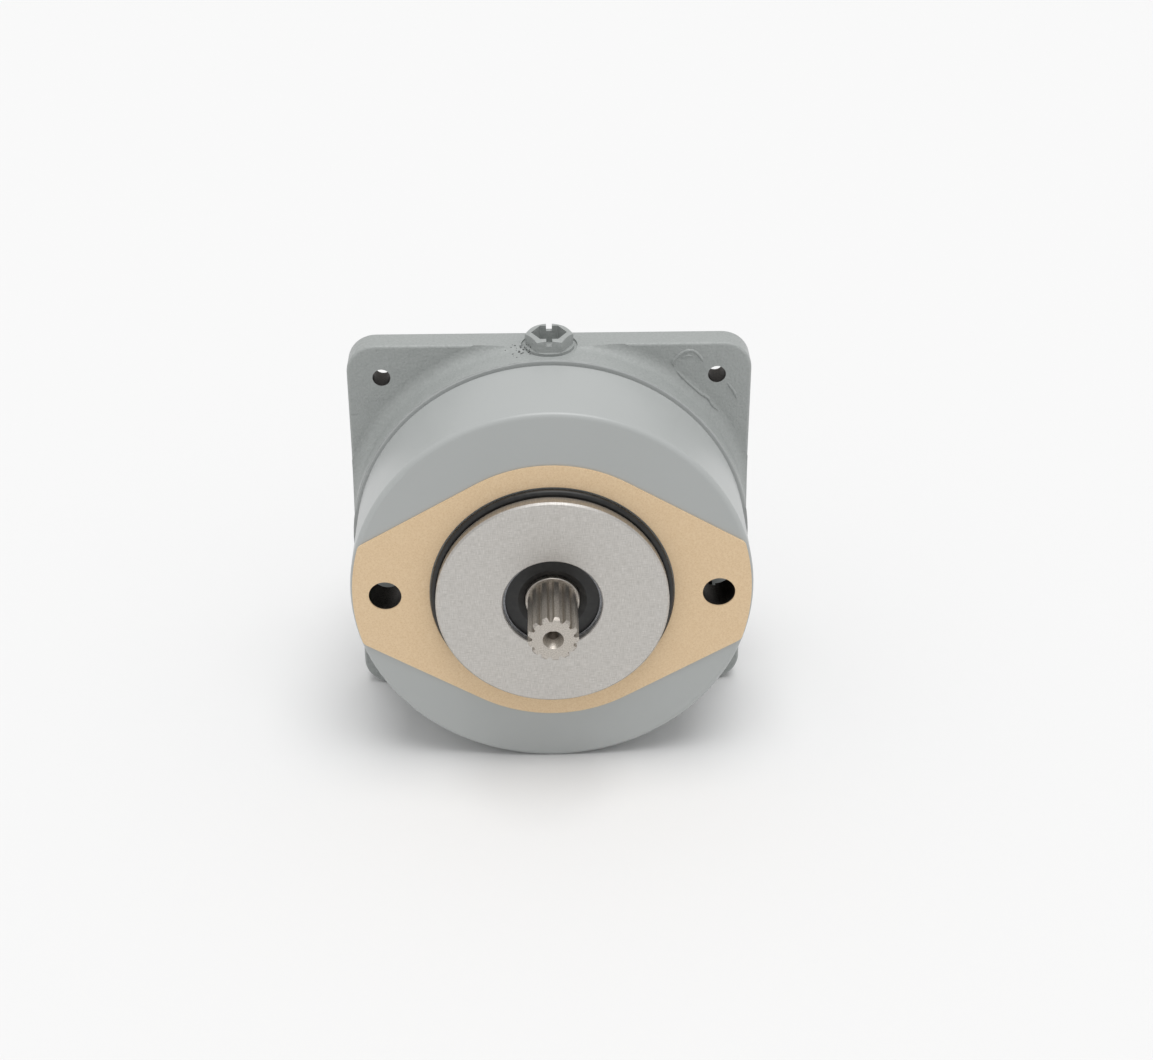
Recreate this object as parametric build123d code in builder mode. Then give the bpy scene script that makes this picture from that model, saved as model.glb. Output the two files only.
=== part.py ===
"""Axial piston pump with a tilting swash plate, in millimetres.

The origin is the centre of the housing's mounting face, on the shaft axis. The shaft end points
along -Y, the hydraulic ports face +Y and +Z is up. The pump stands at full stroke.
"""

import math
import os

from build123d import *

# Running and seating gaps
press_gap = 0.01
running_gap = 0.05
film_gap = 0.03
spline_gap = 0.1
fine_bevel = 0.3
bevel = 0.8

# Shaft, its seal and its front bearing, from the input spline outwards
tilt_angle = 15.0
shaft_front = -37.0
pilot_height = 9.4
spline_teeth = 13
spline_phase = 81.4
spline_major = 10.905
spline_depth = 1.955
spline_minor = spline_major - spline_depth
seal_journal_radius = spline_major + 0.995
seal_lip_radius = seal_journal_radius + 3.1
seal_outer_radius = seal_lip_radius + 6.7
seal_width = 7.0
seal_back = 1.3
seal_front = seal_back - seal_width
seal_ring_thickness = 1.2
seal_ring_depth = 1.1
spline_end = seal_front - 1.1
centre_hole_radius = 2.25
centre_hole_mouth = 4.5
centre_cone_depth = 3.9
centre_hole_depth = 9.7
bearing_bore = seal_journal_radius + 0.6
bearing_outer = bearing_bore + 13.5
bearing_start = seal_back + 2.0
bearing_width = 15.0
bearing_end = bearing_start + bearing_width
bearing_middle = bearing_start + bearing_width / 2
ball_count = 9
ball_radius = 3.9
ball_pitch_radius = (bearing_bore + bearing_outer) / 2
race_gap = 2.65
bearing_ring_thickness = 1.5
bearing_ring_depth = 1.5
hub_radius = bearing_outer + 5.0
hub_end = bearing_end + 3.2
shoulder_radius = bearing_bore + 2.5
shoulder_length = 3.6
shaft_radius = bearing_bore + 0.5
drive_spline_teeth = 18
drive_spline_major = shaft_radius + 0.4
drive_spline_minor = drive_spline_major - 1.2
tail_radius = 9.0

# Rotating group, across the shaft
piston_count = 9
piston_radius = 7.9
piston_clearance = 0.058
pin_count = 3
pin_radius = 1.4
pin_pitch_radius = drive_spline_major + 2.6
chamber_radius = pin_pitch_radius + pin_radius + 1.1
chamber_wall = 4.0
tilt_sin = math.sin(math.radians(tilt_angle))
tilt_cos = math.cos(math.radians(tilt_angle))
# The ball circle is seen from the barrel as an ellipse, so the bores give way by this share
ellipse_share = 1 / math.sqrt(tilt_cos) - 1
bore_radius = (
    piston_radius + piston_clearance + ellipse_share * (chamber_radius + chamber_wall)
) / (1 - ellipse_share)
bore_pitch_radius = chamber_radius + chamber_wall + bore_radius
ball_circle_radius = bore_pitch_radius / math.sqrt(tilt_cos)
barrel_radius = bore_pitch_radius + bore_radius + 4.5
ball_joint_radius = piston_radius - 2.3
neck_radius = ball_joint_radius - 2.0
guide_radius = drive_spline_major + 6.5
slipper_flange_radius = piston_radius + 1.3
slipper_flange_thickness = 3.0
socket_body_radius = ball_joint_radius + 0.9
socket_height = 2.5
oil_hole_radius = 0.8
sole_pocket_radius = 5.6
sole_pocket_depth = 0.6
piston_neck_end = 6.5
piston_hollow_start = 13.0
piston_wall = 2.9
retainer_outer = bore_pitch_radius + slipper_flange_radius + 2.8
retainer_thickness = 3.0
retainer_collar_radius = guide_radius + 3.1
retainer_collar_height = 1.5

# Swash plate: the tilt axis is parallel to X through (0, tilt_y, 0)
wear_face = -ball_joint_radius - 3.4
swash_thickness = 11.0
swash_front = wear_face - swash_thickness
swash_radius = retainer_outer + 3.0
slot_width = 2 * (shaft_radius + 3.0)
slot_length = slot_width + 10.0
cheek_radius = 34.0
cheek_width = 12.0
cheek_outer = swash_radius + 4.0
cheek_inner = cheek_outer - cheek_width
saddle_radius = cheek_radius + 2.5
saddle_half_angle = 46.0
servo_radius = 7.95
servo_bore_radius = servo_radius + 0.05
servo_tip_radius = servo_radius - 2.95
lever_arm = barrel_radius + servo_radius + 5.05
lever_width = 18.0
lever_root = swash_radius - 6.0
lever_end = lever_arm + servo_bore_radius
pad_start = lever_arm - 7.0
pad_face = wear_face + 7.0
servo_tip_length = 5.5
bias_wire_radius = 0.8
bias_spring_turns = 15

# Places along the shaft
swash_clearance = 1.488
tilt_y = hub_end + hub_radius * tilt_sin / tilt_cos - swash_front / tilt_cos + swash_clearance
saddle_block_end = tilt_y - 24.0
saddle_block_reach = saddle_radius - 4.0
guide_start = tilt_y + wear_face + 3.5
guide_end = tilt_y + 8.0
retainer_back = wear_face + slipper_flange_thickness + retainer_thickness
barrel_start = tilt_y + retainer_outer * tilt_sin + retainer_back * tilt_cos + 1.769
barrel_reach = 54.0
barrel_end = tilt_y + barrel_reach
bore_end = barrel_end - 6.5
piston_length = bore_end - tilt_y - ball_circle_radius * tilt_sin - 0.636
chamber_start = barrel_end - 32.0
snap_groove_start = barrel_end - 9.0
snap_ring_thickness = 1.5
barrel_wire_radius = 1.4
barrel_spring_turns = 4
washer_thickness = 1.6
valve_plate_thickness = 4.0
valve_plate_end = barrel_end + valve_plate_thickness
tail_start = valve_plate_end - 1.0
needle_cup_radius = tail_radius + 3.0
needle_cup_start = valve_plate_end + 1.0
needle_cup_end = needle_cup_start + 16.0
needle_count = 24
needle_radius = 0.97

# Housing, from the swash plate and its control outwards
front_wall = 12.0
cavity_radius = lever_end + 5.0
port_screw_count = 8
port_screw_phase = 22.5
port_screw_radius = 4.0
port_screw_circle = cavity_radius + 7.0
port_flange_radius = port_screw_circle + 7.5
body_radius = port_flange_radius + 3.8
body_length = 46.8
body_edge = 2.2
relief_width = 1.3
relief_depth = 0.8
collar_step = 1.7
collar_radius = body_radius + collar_step
collar_edge = 0.6
collar_fillet = 6.0
plate_side = 2 * (collar_radius + 0.1)
plate_thickness = 13.2
plate_end = barrel_end - 30.0
plate_start = plate_end - plate_thickness
plate_corner = 13.0
plate_edge = 1.2
support_hole_radius = 4.0
support_hole_spacing = plate_side - 30.8

# Pilot, bolt ears and gasket; the bolts come to the 146 mm of a two-bolt flange
pilot_radius = 50.8
bolt_hole_radius = 7.15
bolt_ear_thickness = 18.0
pocket_radius = 15.0
pocket_wall = 5.0
pocket_length = 29.0
pocket_end = bolt_ear_thickness + pocket_length
bolt_spacing = 2 * (cheek_outer + 3.0 + pocket_wall + pocket_radius)
o_ring_section = 1.75
o_ring_centre_radius = pilot_radius + 0.6
o_ring_groove_width = 2 * o_ring_section + 0.1
gasket_thickness = 0.8
gasket_bore_radius = o_ring_centre_radius + o_ring_section + 0.45
gasket_waist_radius = gasket_bore_radius + 10.1
gasket_end_radius = body_radius - 1.0
gasket_end_half_height = 25.0

# Case drain plug on the collar
plug_y = plate_start + 0.2
plug_seat = collar_radius - 0.8
plug_thread_radius = 7.0
plug_thread_length = 13.0
plug_hex = 18.5
plug_recess = plug_hex - 4.8
plug_recess_depth = 8.0
plug_flange_radius = plug_hex / 2 + 1.75
plug_flange_height = 1.3
plug_slot = 2.6
plug_top = plug_seat + 6.8

# Port block
kidney_half_width = 4.0
barrel_kidney_reach = 7.5
kidney_depth = 10.0
kidneys = ((180, 60), (0, 52))
block_start = plate_end + gasket_thickness
port_flange_end = block_start + 12.0
port_flange_bevel = 2.5
block_end = valve_plate_end + 28.0
block_cavity_radius = barrel_radius + 2.0
block_half_height = block_cavity_radius + 2.0
block_corner = 6.0
boss_half_width = servo_bore_radius + 7.0
boss_top = lever_arm + servo_bore_radius + 5.0
boss_corner = 5.0
servo_bore_end = valve_plate_end + 6.0
bias_boss_end = servo_bore_end + 2.0
control_boss_end = servo_bore_end + 12.0
inlet_radius = 16.0
outlet_radius = 12.5
port_offset = needle_cup_radius + 7.0 + inlet_radius
block_half_width = port_offset + 25.0
port_depth = block_end - servo_bore_end
inlet_bolts = (30.2, 58.7)
outlet_bolts = (26.2, 52.4)
port_bolt_radius = 4.25
port_bolt_depth = 14.0
port_screw_grip = 16.0
port_screw_head_radius = 6.5
port_screw_head_height = 8.0
port_screw_socket = 3.0
port_screw_socket_depth = 4.5
control_end = servo_bore_end - 4.0
stop_screw_radius = 5.0
stop_nut_half_width = 8.0
stop_nut_height = 6.0
stop_pad_end = control_end + 2.5

# Pressure compensator, under the port block, its spool parallel to X
spool_bore_radius = 5.0
spool_radius = spool_bore_radius - running_gap
spring_chamber_radius = spool_bore_radius + 2.5
spring_chamber_depth = 10.0
comp_plug_radius = spool_bore_radius + 2.0
comp_start = boss_half_width + 2.0
comp_length = 38.0
comp_height = 34.0
comp_front = valve_plate_end - 12.5
comp_back = comp_front + 2 * (spring_chamber_radius + 9.0)
comp_bottom = -block_half_height - comp_height
comp_axis_z = comp_bottom + comp_height / 2
comp_corner = 3.0
comp_screw_inset = 6.0
comp_screw_radius = 2.5
comp_screw_head_radius = 4.25
comp_screw_recess = 6.5
comp_screw_grip = 6.0
comp_screw_socket = 2.0
spool_land = 7.0
spool_head = 1.5
comp_wire_radius = 0.75
comp_spring_turns = 4
gallery_radius = 2.5
plug_depth = 8.0
bonnet_length = 16.0
bonnet_wall = 5.0
bonnet_half_width = spring_chamber_radius + 4.5
adjuster_radius = 4.0
adjuster_reach = 11.0
adjuster_nut_half_width = 6.5
adjuster_nut_height = 5.0
seat_thickness = 2.0

tilt_centre = (0, tilt_y, 0)
tilt_normal = (0, tilt_cos, tilt_sin)
mount_face = Plane.XZ
piston_angles = [90 + 360 / piston_count * index for index in range(piston_count)]
comp_end = comp_start + comp_length
comp_middle = (comp_start + comp_end) / 2
comp_axis_y = (comp_front + comp_back) / 2
gallery_y = comp_axis_y + 4.0
spool_bore_end = comp_end - spring_chamber_depth
spool_end = spool_bore_end + 0.5 + spool_head
bonnet_end = comp_end + bonnet_length
seat_start = bonnet_end - 10.0
comp_screw_spots = [
    (x, y)
    for x in (comp_start + comp_screw_inset, comp_end - comp_screw_inset)
    for y in (comp_front + comp_screw_inset, comp_back - comp_screw_inset)
]
comp_axis = Axis((0, comp_axis_y, comp_axis_z), (1, 0, 0))
comp_plane = Plane(origin=(0, comp_axis_y, comp_axis_z), x_dir=(0, -1, 0), z_dir=(0, 0, 1))


def section(y):
    """Cross-section at a distance y behind the mounting face; extrusions run forward."""
    return mount_face.offset(-y)


def swash_section(height):
    """Cross-section of the tilted group at a height along the swash normal."""
    return Plane(
        origin=(0, tilt_y + height * tilt_cos, height * tilt_sin),
        x_dir=(1, 0, 0),
        z_dir=(0, -tilt_cos, -tilt_sin),
    )


def comp_section(x):
    """Cross-section of the compensator at a distance x; extrusions run towards -X."""
    return Plane(origin=(x, comp_axis_y, comp_axis_z), x_dir=(0, -1, 0), z_dir=(-1, 0, 0))


def ball_centre(angle):
    """Centre of a piston's ball joint with the swash plate at full stroke."""
    across = ball_circle_radius * math.cos(math.radians(angle))
    upward = ball_circle_radius * math.sin(math.radians(angle))
    return (across, tilt_y - upward * tilt_sin, upward * tilt_cos)


def turned(points, axis, plane=Plane.XY, mode=Mode.ADD):
    """Turns a closed profile of (radius, length) points about an axis in its plane."""
    with BuildSketch(plane) as profile:
        with BuildLine():
            Polyline(*points, close=True)
        make_face()
    revolve(profile.sketch, axis=axis, mode=mode)


def bored(points, axis, plane=Plane.XY):
    """Removes a turned profile."""
    turned(points, axis, plane, Mode.SUBTRACT)


def ring(inner, outer, start, end):
    """Profile of a square-edged ring."""
    return [(inner, start), (outer, start), (outer, end), (inner, end)]


def bevelled_ring(inner, outer, start, end, bevel):
    """Profile of a ring with its outer corners bevelled."""
    return [
        (inner, start),
        (outer - bevel, start),
        (outer, start + bevel),
        (outer, end - bevel),
        (outer - bevel, end),
        (inner, end),
    ]


def tooth_spaces(count, widths, phase=0.0, mode=Mode.ADD):
    """Spaces between spline teeth, each outlined by (radius, half width) pairs."""
    mirrored = [(radius, -half) for radius, half in reversed(widths)]
    with PolarLocations(0, count, start_angle=phase):
        Polygon(*widths, *mirrored, align=None, mode=mode)


def kidney_slots():
    """Sketch of the inlet and outlet kidneys, each an arc about the shaft."""
    for middle, reach in kidneys:
        arc = CenterArc(
            (0, 0), bore_pitch_radius, middle - reach, 2 * reach, mode=Mode.PRIVATE
        )
        SlotArc(arc, 2 * kidney_half_width)


def port_screw_spots():
    """Places of the screws that hold the port block to the housing."""
    return PolarLocations(port_screw_circle, port_screw_count, start_angle=port_screw_phase)


def coil(wire_radius, coil_radius, turns, start, direction, length):
    """Sweeps a round wire along a helix from one spring end to the other."""
    height = length - 2 * wire_radius
    origin = [s + d * wire_radius for s, d in zip(start, direction)]
    path = Helix(height / turns, height, coil_radius, center=origin, direction=direction)
    with BuildSketch(Plane(origin=path @ 0, z_dir=path % 0)) as wire:
        Circle(wire_radius)
    sweep(wire.sketch, path=path, is_frenet=True)


# --- Housing and what is fixed to its front -------------------------------------------------

# Concave blend between the collar and the plate, cut off at the plate's outline
with BuildPart() as collar_blend:
    blend_radius = collar_radius + collar_fillet
    with BuildSketch(Plane.XY) as blend_profile:
        with BuildLine():
            CenterArc((blend_radius, plate_start - collar_fillet), collar_fillet, 90, 90)
            Polyline(
                (collar_radius, plate_start - collar_fillet),
                (0, plate_start - collar_fillet),
                (0, plate_start + plate_edge),
                (blend_radius, plate_start + plate_edge),
                (blend_radius, plate_start),
            )
        make_face()
    revolve(axis=Axis.Y)
    with BuildSketch(section(plate_end)):
        RectangleRounded(plate_side, plate_side, plate_corner)
    extrude(amount=plate_thickness + collar_fillet, mode=Mode.INTERSECT)

with BuildPart() as housing:
    with BuildSketch(section(plate_end)):
        RectangleRounded(plate_side, plate_side, plate_corner)
    extrude(amount=plate_thickness)
    fillet(housing.edges().filter_by(Plane.XZ), plate_edge)
    add(collar_blend.part)
    with BuildSketch(Plane.XY) as outer_profile:
        with BuildLine():
            Polyline(
                (0, 0),
                (body_radius, 0),
                (body_radius, body_length - relief_width),
                (body_radius - relief_depth, body_length - relief_width),
                (body_radius - relief_depth, body_length),
                (collar_radius, body_length),
                (collar_radius, plate_end - plate_edge),
                (0, plate_end - plate_edge),
                close=True,
            )
        make_face()
        corners = outer_profile.vertices()
        fillet(corners.sort_by_distance((body_radius, 0))[0], body_edge)
        corners = outer_profile.vertices()
        fillet(corners.sort_by_distance((collar_radius, body_length))[0], collar_edge)
    revolve(axis=Axis.Y)
    # Pilot with the undercut for its O-ring
    turned(bevelled_ring(0, pilot_radius, -pilot_height, -o_ring_groove_width, bevel), Axis.Y)
    groove_floor = o_ring_centre_radius - o_ring_section - running_gap
    turned(ring(0, groove_floor, -o_ring_groove_width - 0.5, 0.5), Axis.Y)
    # Case cavity, narrowed round the pockets for the mounting bolts
    with BuildSketch(section(plate_end)):
        Circle(cavity_radius)
    extrude(amount=plate_end - pocket_end - pocket_wall, mode=Mode.SUBTRACT)
    with BuildSketch(section(pocket_end + pocket_wall)):
        Circle(cavity_radius)
        with GridLocations(bolt_spacing, 0, 2, 1):
            Circle(pocket_radius + pocket_wall, mode=Mode.SUBTRACT)
    extrude(amount=pocket_end + pocket_wall - front_wall, mode=Mode.SUBTRACT)
    # Bearing hub and saddle blocks inside the case
    turned(bevelled_ring(0, hub_radius, front_wall - 1, hub_end, bevel), Axis.Y)
    with BuildSketch(section(saddle_block_end)):
        with GridLocations(cheek_inner + cheek_outer, 0, 2, 1):
            Rectangle(cheek_width, 2 * saddle_block_reach)
    extrude(amount=saddle_block_end - front_wall + 1)
    for side in (-1, 1):
        with BuildSketch(Plane.YZ.offset(side * (cheek_inner + cheek_outer) / 2)) as saddle_void:
            with Locations((tilt_y, 0)):
                Circle(saddle_radius)
        extrude(saddle_void.sketch, amount=cheek_width / 2 + 1, both=True, mode=Mode.SUBTRACT)
    # Pockets behind the bolt ears
    with BuildSketch(section(pocket_end)):
        for side in (-1, 1):
            with Locations((side * bolt_spacing / 2, 0)):
                Circle(pocket_radius)
            with Locations((side * (bolt_spacing / 2 + pocket_radius), 0)):
                Rectangle(2 * pocket_radius, 2 * pocket_radius)
    extrude(amount=pocket_end - bolt_ear_thickness, mode=Mode.SUBTRACT)
    with BuildSketch(section(bolt_ear_thickness + 1)):
        with GridLocations(bolt_spacing, 0, 2, 1):
            Circle(bolt_hole_radius)
    extrude(amount=bolt_ear_thickness + 2, mode=Mode.SUBTRACT)
    # Stepped bore for the seal and the front bearing, with its ring grooves
    bored(
        [
            (0, -pilot_height - 1),
            (seal_outer_radius + 1.4, -pilot_height - 1),
            (seal_outer_radius + 0.4, -pilot_height),
            (seal_outer_radius, -pilot_height + 0.4),
            (seal_outer_radius, seal_front - seal_ring_thickness - 0.1),
            (seal_outer_radius + seal_ring_depth, seal_front - seal_ring_thickness - 0.1),
            (seal_outer_radius + seal_ring_depth, seal_front),
            (seal_outer_radius, seal_front),
            (seal_outer_radius, seal_back),
            (seal_outer_radius - 4, seal_back),
            (seal_outer_radius - 4, bearing_start),
            (bearing_outer, bearing_start),
            (bearing_outer, bearing_end),
            (bearing_outer + bearing_ring_depth + 0.1, bearing_end),
            (bearing_outer + bearing_ring_depth + 0.1, bearing_end + bearing_ring_thickness + 0.1),
            (bearing_outer, bearing_end + bearing_ring_thickness + 0.1),
            (bearing_outer, hub_end + 1),
            (0, hub_end + 1),
        ],
        Axis.Y,
    )
    # Corner holes of the plate and tapped holes for the port block
    with BuildSketch(section(plate_end + 1)):
        with GridLocations(support_hole_spacing, support_hole_spacing, 2, 2):
            Circle(support_hole_radius)
    extrude(amount=plate_thickness + 2, mode=Mode.SUBTRACT)
    with BuildSketch(section(plate_end)):
        with port_screw_spots():
            Circle(port_screw_radius)
    extrude(amount=port_screw_grip + 2, mode=Mode.SUBTRACT)
    # Seat and tapped hole of the drain plug
    with BuildSketch(Plane(origin=(0, plug_y, plug_seat))):
        Circle(plug_flange_radius + 1.5)
    extrude(amount=5, mode=Mode.SUBTRACT)
    with BuildSketch(Plane(origin=(0, plug_y, plug_seat))):
        Circle(plug_thread_radius)
    extrude(amount=cavity_radius - plug_seat - 5, mode=Mode.SUBTRACT)

with BuildPart() as mounting_gasket:
    corner_x = math.sqrt(gasket_end_radius**2 - gasket_end_half_height**2)
    tangent = math.atan2(gasket_end_half_height, corner_x) + math.acos(
        gasket_waist_radius / gasket_end_radius
    )
    tangent_x = gasket_waist_radius * math.cos(tangent)
    tangent_z = gasket_waist_radius * math.sin(tangent)
    with BuildSketch(section(0)) as gasket_outline:
        with BuildLine():
            for side in (-1, 1):
                ThreePointArc(
                    (side * corner_x, -gasket_end_half_height),
                    (side * gasket_end_radius, 0),
                    (side * corner_x, gasket_end_half_height),
                )
                ThreePointArc(
                    (-tangent_x, side * tangent_z),
                    (0, side * gasket_waist_radius),
                    (tangent_x, side * tangent_z),
                )
                for end in (-1, 1):
                    Line(
                        (side * tangent_x, end * tangent_z),
                        (side * corner_x, end * gasket_end_half_height),
                    )
        make_face()
        fillet([v for v in gasket_outline.vertices() if abs(v.X) > corner_x - 1], 4.0)
        Circle(gasket_bore_radius, mode=Mode.SUBTRACT)
        with GridLocations(bolt_spacing, 0, 2, 1):
            Circle(bolt_hole_radius, mode=Mode.SUBTRACT)
    extrude(amount=gasket_thickness)

with BuildPart() as pilot_o_ring:
    with BuildSketch(Plane.XY):
        with Locations((o_ring_centre_radius, -o_ring_groove_width / 2)):
            Circle(o_ring_section)
    revolve(axis=Axis.Y)

with BuildPart() as shaft_seal:
    lip = seal_journal_radius + running_gap
    turned(
        [
            (seal_lip_radius, seal_front),
            (seal_outer_radius - press_gap - 0.5, seal_front),
            (seal_outer_radius - press_gap, seal_front + 0.5),
            (seal_outer_radius - press_gap, seal_back),
            (seal_outer_radius - 3, seal_back),
            (seal_outer_radius - 3, seal_front + 2.2),
            (seal_lip_radius + 0.6, seal_front + 2.2),
            (seal_lip_radius - 0.4, seal_front + 5.4),
            (lip + 0.5, seal_front + 5.4),
            (lip, seal_front + 4.6),
            (lip + 0.9, seal_front + 3.4),
            (lip, seal_front + 1.5),
            (lip + 0.5, seal_front + 1.1),
        ],
        Axis.Y,
    )

with BuildPart() as seal_retaining_ring:
    with BuildSketch(section(seal_front - 0.05)) as ring_outline:
        Circle(seal_outer_radius + seal_ring_depth - 0.1)
        Circle(seal_outer_radius - 1.1, mode=Mode.SUBTRACT)
        with Locations((0, -seal_outer_radius)):
            Rectangle(6, 6, mode=Mode.SUBTRACT)
    extrude(amount=seal_ring_thickness)

with BuildPart() as saddle_bearings:
    for side in (-1, 1):
        with BuildSketch(Plane.YZ.offset(side * (cheek_inner + cheek_outer) / 2)) as shell:
            with BuildLine():
                reach = math.radians(saddle_half_angle)
                radii = (cheek_radius + running_gap, saddle_radius)
                for radius in radii:
                    ThreePointArc(
                        (tilt_y - radius * math.cos(reach), -radius * math.sin(reach)),
                        (tilt_y - radius, 0),
                        (tilt_y - radius * math.cos(reach), radius * math.sin(reach)),
                    )
                for end in (-1, 1):
                    Line(
                        *[
                            (tilt_y - radius * math.cos(reach), end * radius * math.sin(reach))
                            for radius in radii
                        ]
                    )
            make_face()
        extrude(amount=cheek_width / 2 - 0.5, both=True)

with BuildPart() as front_bearing_outer_race:
    race_radius = ball_pitch_radius + race_gap
    turned(
        bevelled_ring(race_radius, bearing_outer - press_gap, bearing_start, bearing_end, bevel),
        Axis.Y,
    )
    with BuildSketch(Plane.XY) as outer_groove:
        with Locations((ball_pitch_radius, bearing_middle)):
            Circle(ball_radius + running_gap)
    revolve(outer_groove.sketch, axis=Axis.Y, mode=Mode.SUBTRACT)

with BuildPart() as front_bearing_inner_race:
    race_radius = ball_pitch_radius - race_gap
    turned(
        bevelled_ring(
            bearing_bore + press_gap, race_radius, bearing_start, bearing_end, fine_bevel
        ),
        Axis.Y,
    )
    with BuildSketch(Plane.XY) as inner_groove:
        with Locations((ball_pitch_radius, bearing_middle)):
            Circle(ball_radius + running_gap)
    revolve(inner_groove.sketch, axis=Axis.Y, mode=Mode.SUBTRACT)

with BuildPart() as front_bearing_balls:
    with Locations(section(bearing_middle)):
        with PolarLocations(ball_pitch_radius, ball_count):
            Sphere(ball_radius)

with BuildPart() as front_bearing_cage:
    cage_reach = ball_radius + 1.3
    turned(
        ring(
            ball_pitch_radius - 1.25,
            ball_pitch_radius + 1.25,
            bearing_middle - cage_reach,
            bearing_middle + cage_reach,
        ),
        Axis.Y,
    )
    with Locations(section(bearing_middle)):
        with PolarLocations(ball_pitch_radius, ball_count):
            Cylinder(ball_radius + running_gap, 6, rotation=(0, 90, 0), mode=Mode.SUBTRACT)

with BuildPart() as bearing_retaining_ring:
    with BuildSketch(section(bearing_end + bearing_ring_thickness + running_gap)):
        Circle(bearing_outer + bearing_ring_depth)
        Circle(bearing_outer - 2.6, mode=Mode.SUBTRACT)
        with Locations((0, -bearing_outer)):
            Rectangle(8, 8, mode=Mode.SUBTRACT)
    extrude(amount=bearing_ring_thickness)

with BuildPart() as case_drain_plug:
    with BuildSketch(Plane(origin=(0, plug_y, plug_seat))):
        Circle(plug_thread_radius - running_gap)
    extrude(amount=-plug_thread_length)
    with BuildSketch(Plane(origin=(0, plug_y, plug_seat))):
        Circle(plug_flange_radius)
    extrude(amount=plug_flange_height)
    with BuildSketch(Plane(origin=(0, plug_y, plug_seat + 1))):
        RegularPolygon(plug_hex / 2, 6, major_radius=False)
    extrude(amount=plug_top - plug_seat - 1)
    # Rounded-off top corners of the hexagon
    with BuildSketch(Plane.XZ.offset(-plug_y)) as hex_bevel:
        with BuildLine():
            Polyline(
                (plug_hex / 2 - 0.3, plug_top),
                (plug_hex / 2 + 3, plug_top - 1.8),
                (plug_hex / 2 + 3, plug_top),
                close=True,
            )
        make_face()
    revolve(hex_bevel.sketch, axis=Axis((0, plug_y, 0), (0, 0, 1)), mode=Mode.SUBTRACT)
    with BuildSketch(Plane(origin=(0, plug_y, plug_top))):
        RegularPolygon(plug_recess / 2, 6, major_radius=False)
    extrude(amount=-plug_recess_depth, mode=Mode.SUBTRACT)
    with BuildSketch(Plane(origin=(0, plug_y, plug_top))):
        Rectangle(plug_slot, 2 * plug_hex)
    extrude(amount=-plug_slot, mode=Mode.SUBTRACT)

# --- Shaft ----------------------------------------------------------------------------------

# Half widths of the tooth spaces at increasing radius
input_spaces = [
    (spline_minor, 0.60),
    (spline_minor + 0.65, 0.82),
    (spline_minor + 1.37, 1.25),
    (spline_major, 1.70),
    (spline_major + 1, 2.45),
]
drive_spaces = [
    (drive_spline_minor, 0.90),
    (drive_spline_major, 1.15),
    (drive_spline_major + 1, 1.36),
]
drive_teeth = [
    (drive_spline_minor + spline_gap, 0.82),
    (drive_spline_major + spline_gap, 1.07),
    (drive_spline_major + spline_gap + 1, 1.28),
]

with BuildPart() as drive_shaft:
    turned(
        [
            (0, shaft_front + centre_hole_depth + 1.3),
            (centre_hole_radius, shaft_front + centre_hole_depth),
            (centre_hole_radius, shaft_front + centre_cone_depth),
            (centre_hole_mouth, shaft_front),
            (spline_major - 1.0, shaft_front),
            (spline_major, shaft_front + 1.0),
            (spline_major, spline_end),
            (seal_journal_radius - fine_bevel, spline_end),
            (seal_journal_radius, spline_end + fine_bevel),
            (seal_journal_radius, seal_back - fine_bevel),
            (bearing_bore, seal_back + fine_bevel),
            (bearing_bore, bearing_end),
            (shoulder_radius, bearing_end),
            (shoulder_radius, bearing_end + shoulder_length),
            (shoulder_radius - 0.6, bearing_end + shoulder_length + 0.6),
            (shaft_radius, bearing_end + shoulder_length + 0.6),
            (shaft_radius, guide_start - 2),
            (drive_spline_major, guide_start - 1.6),
            (drive_spline_major, chamber_start + 0.2),
            (shaft_radius - 1, chamber_start + 1.2),
            (shaft_radius - 1, tail_start - 1),
            (tail_radius, tail_start),
            (tail_radius, needle_cup_end - 0.6),
            (tail_radius - 0.6, needle_cup_end),
            (0, needle_cup_end),
        ],
        Axis.Y,
    )
    # Involute flanks of the 30 degree coupling spline
    with BuildSketch(section(spline_end)):
        tooth_spaces(spline_teeth, input_spaces, spline_phase + 180 / spline_teeth)
    extrude(amount=spline_end - shaft_front + 1, mode=Mode.SUBTRACT)
    with BuildSketch(section(chamber_start + 1.5)):
        tooth_spaces(drive_spline_teeth, drive_spaces)
    extrude(amount=chamber_start + 1.5 - guide_start + 2, mode=Mode.SUBTRACT)

# --- Swash plate and its controls -------------------------------------------------------------

with BuildPart() as swash_plate:
    with BuildSketch(swash_section(wear_face)):
        Circle(swash_radius)
        for end in (-1, 1):
            with Locations((0, end * (lever_root + lever_end) / 2)):
                Rectangle(lever_width, lever_end - lever_root)
    extrude(amount=swash_thickness)
    with BuildSketch(swash_section(pad_face)):
        for end in (-1, 1):
            with Locations((0, end * (pad_start + lever_end) / 2)):
                Rectangle(lever_width, lever_end - pad_start)
    extrude(amount=pad_face - swash_front)
    with BuildSketch(swash_section(wear_face + 1)):
        SlotOverall(slot_length, slot_width, rotation=90)
    extrude(amount=swash_thickness + 2, mode=Mode.SUBTRACT)
    for side in (-1, 1):
        cheek_plane = Plane(
            origin=(side * (cheek_inner + cheek_outer) / 2, tilt_y, 0),
            x_dir=tilt_normal,
            z_dir=(1, 0, 0),
        )
        with BuildSketch(cheek_plane) as cheek:
            Circle(cheek_radius)
            with Locations((wear_face + cheek_radius, 0)):
                Rectangle(2 * cheek_radius, 3 * cheek_radius, mode=Mode.SUBTRACT)
        extrude(cheek.sketch, amount=cheek_width / 2, both=True)

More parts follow.
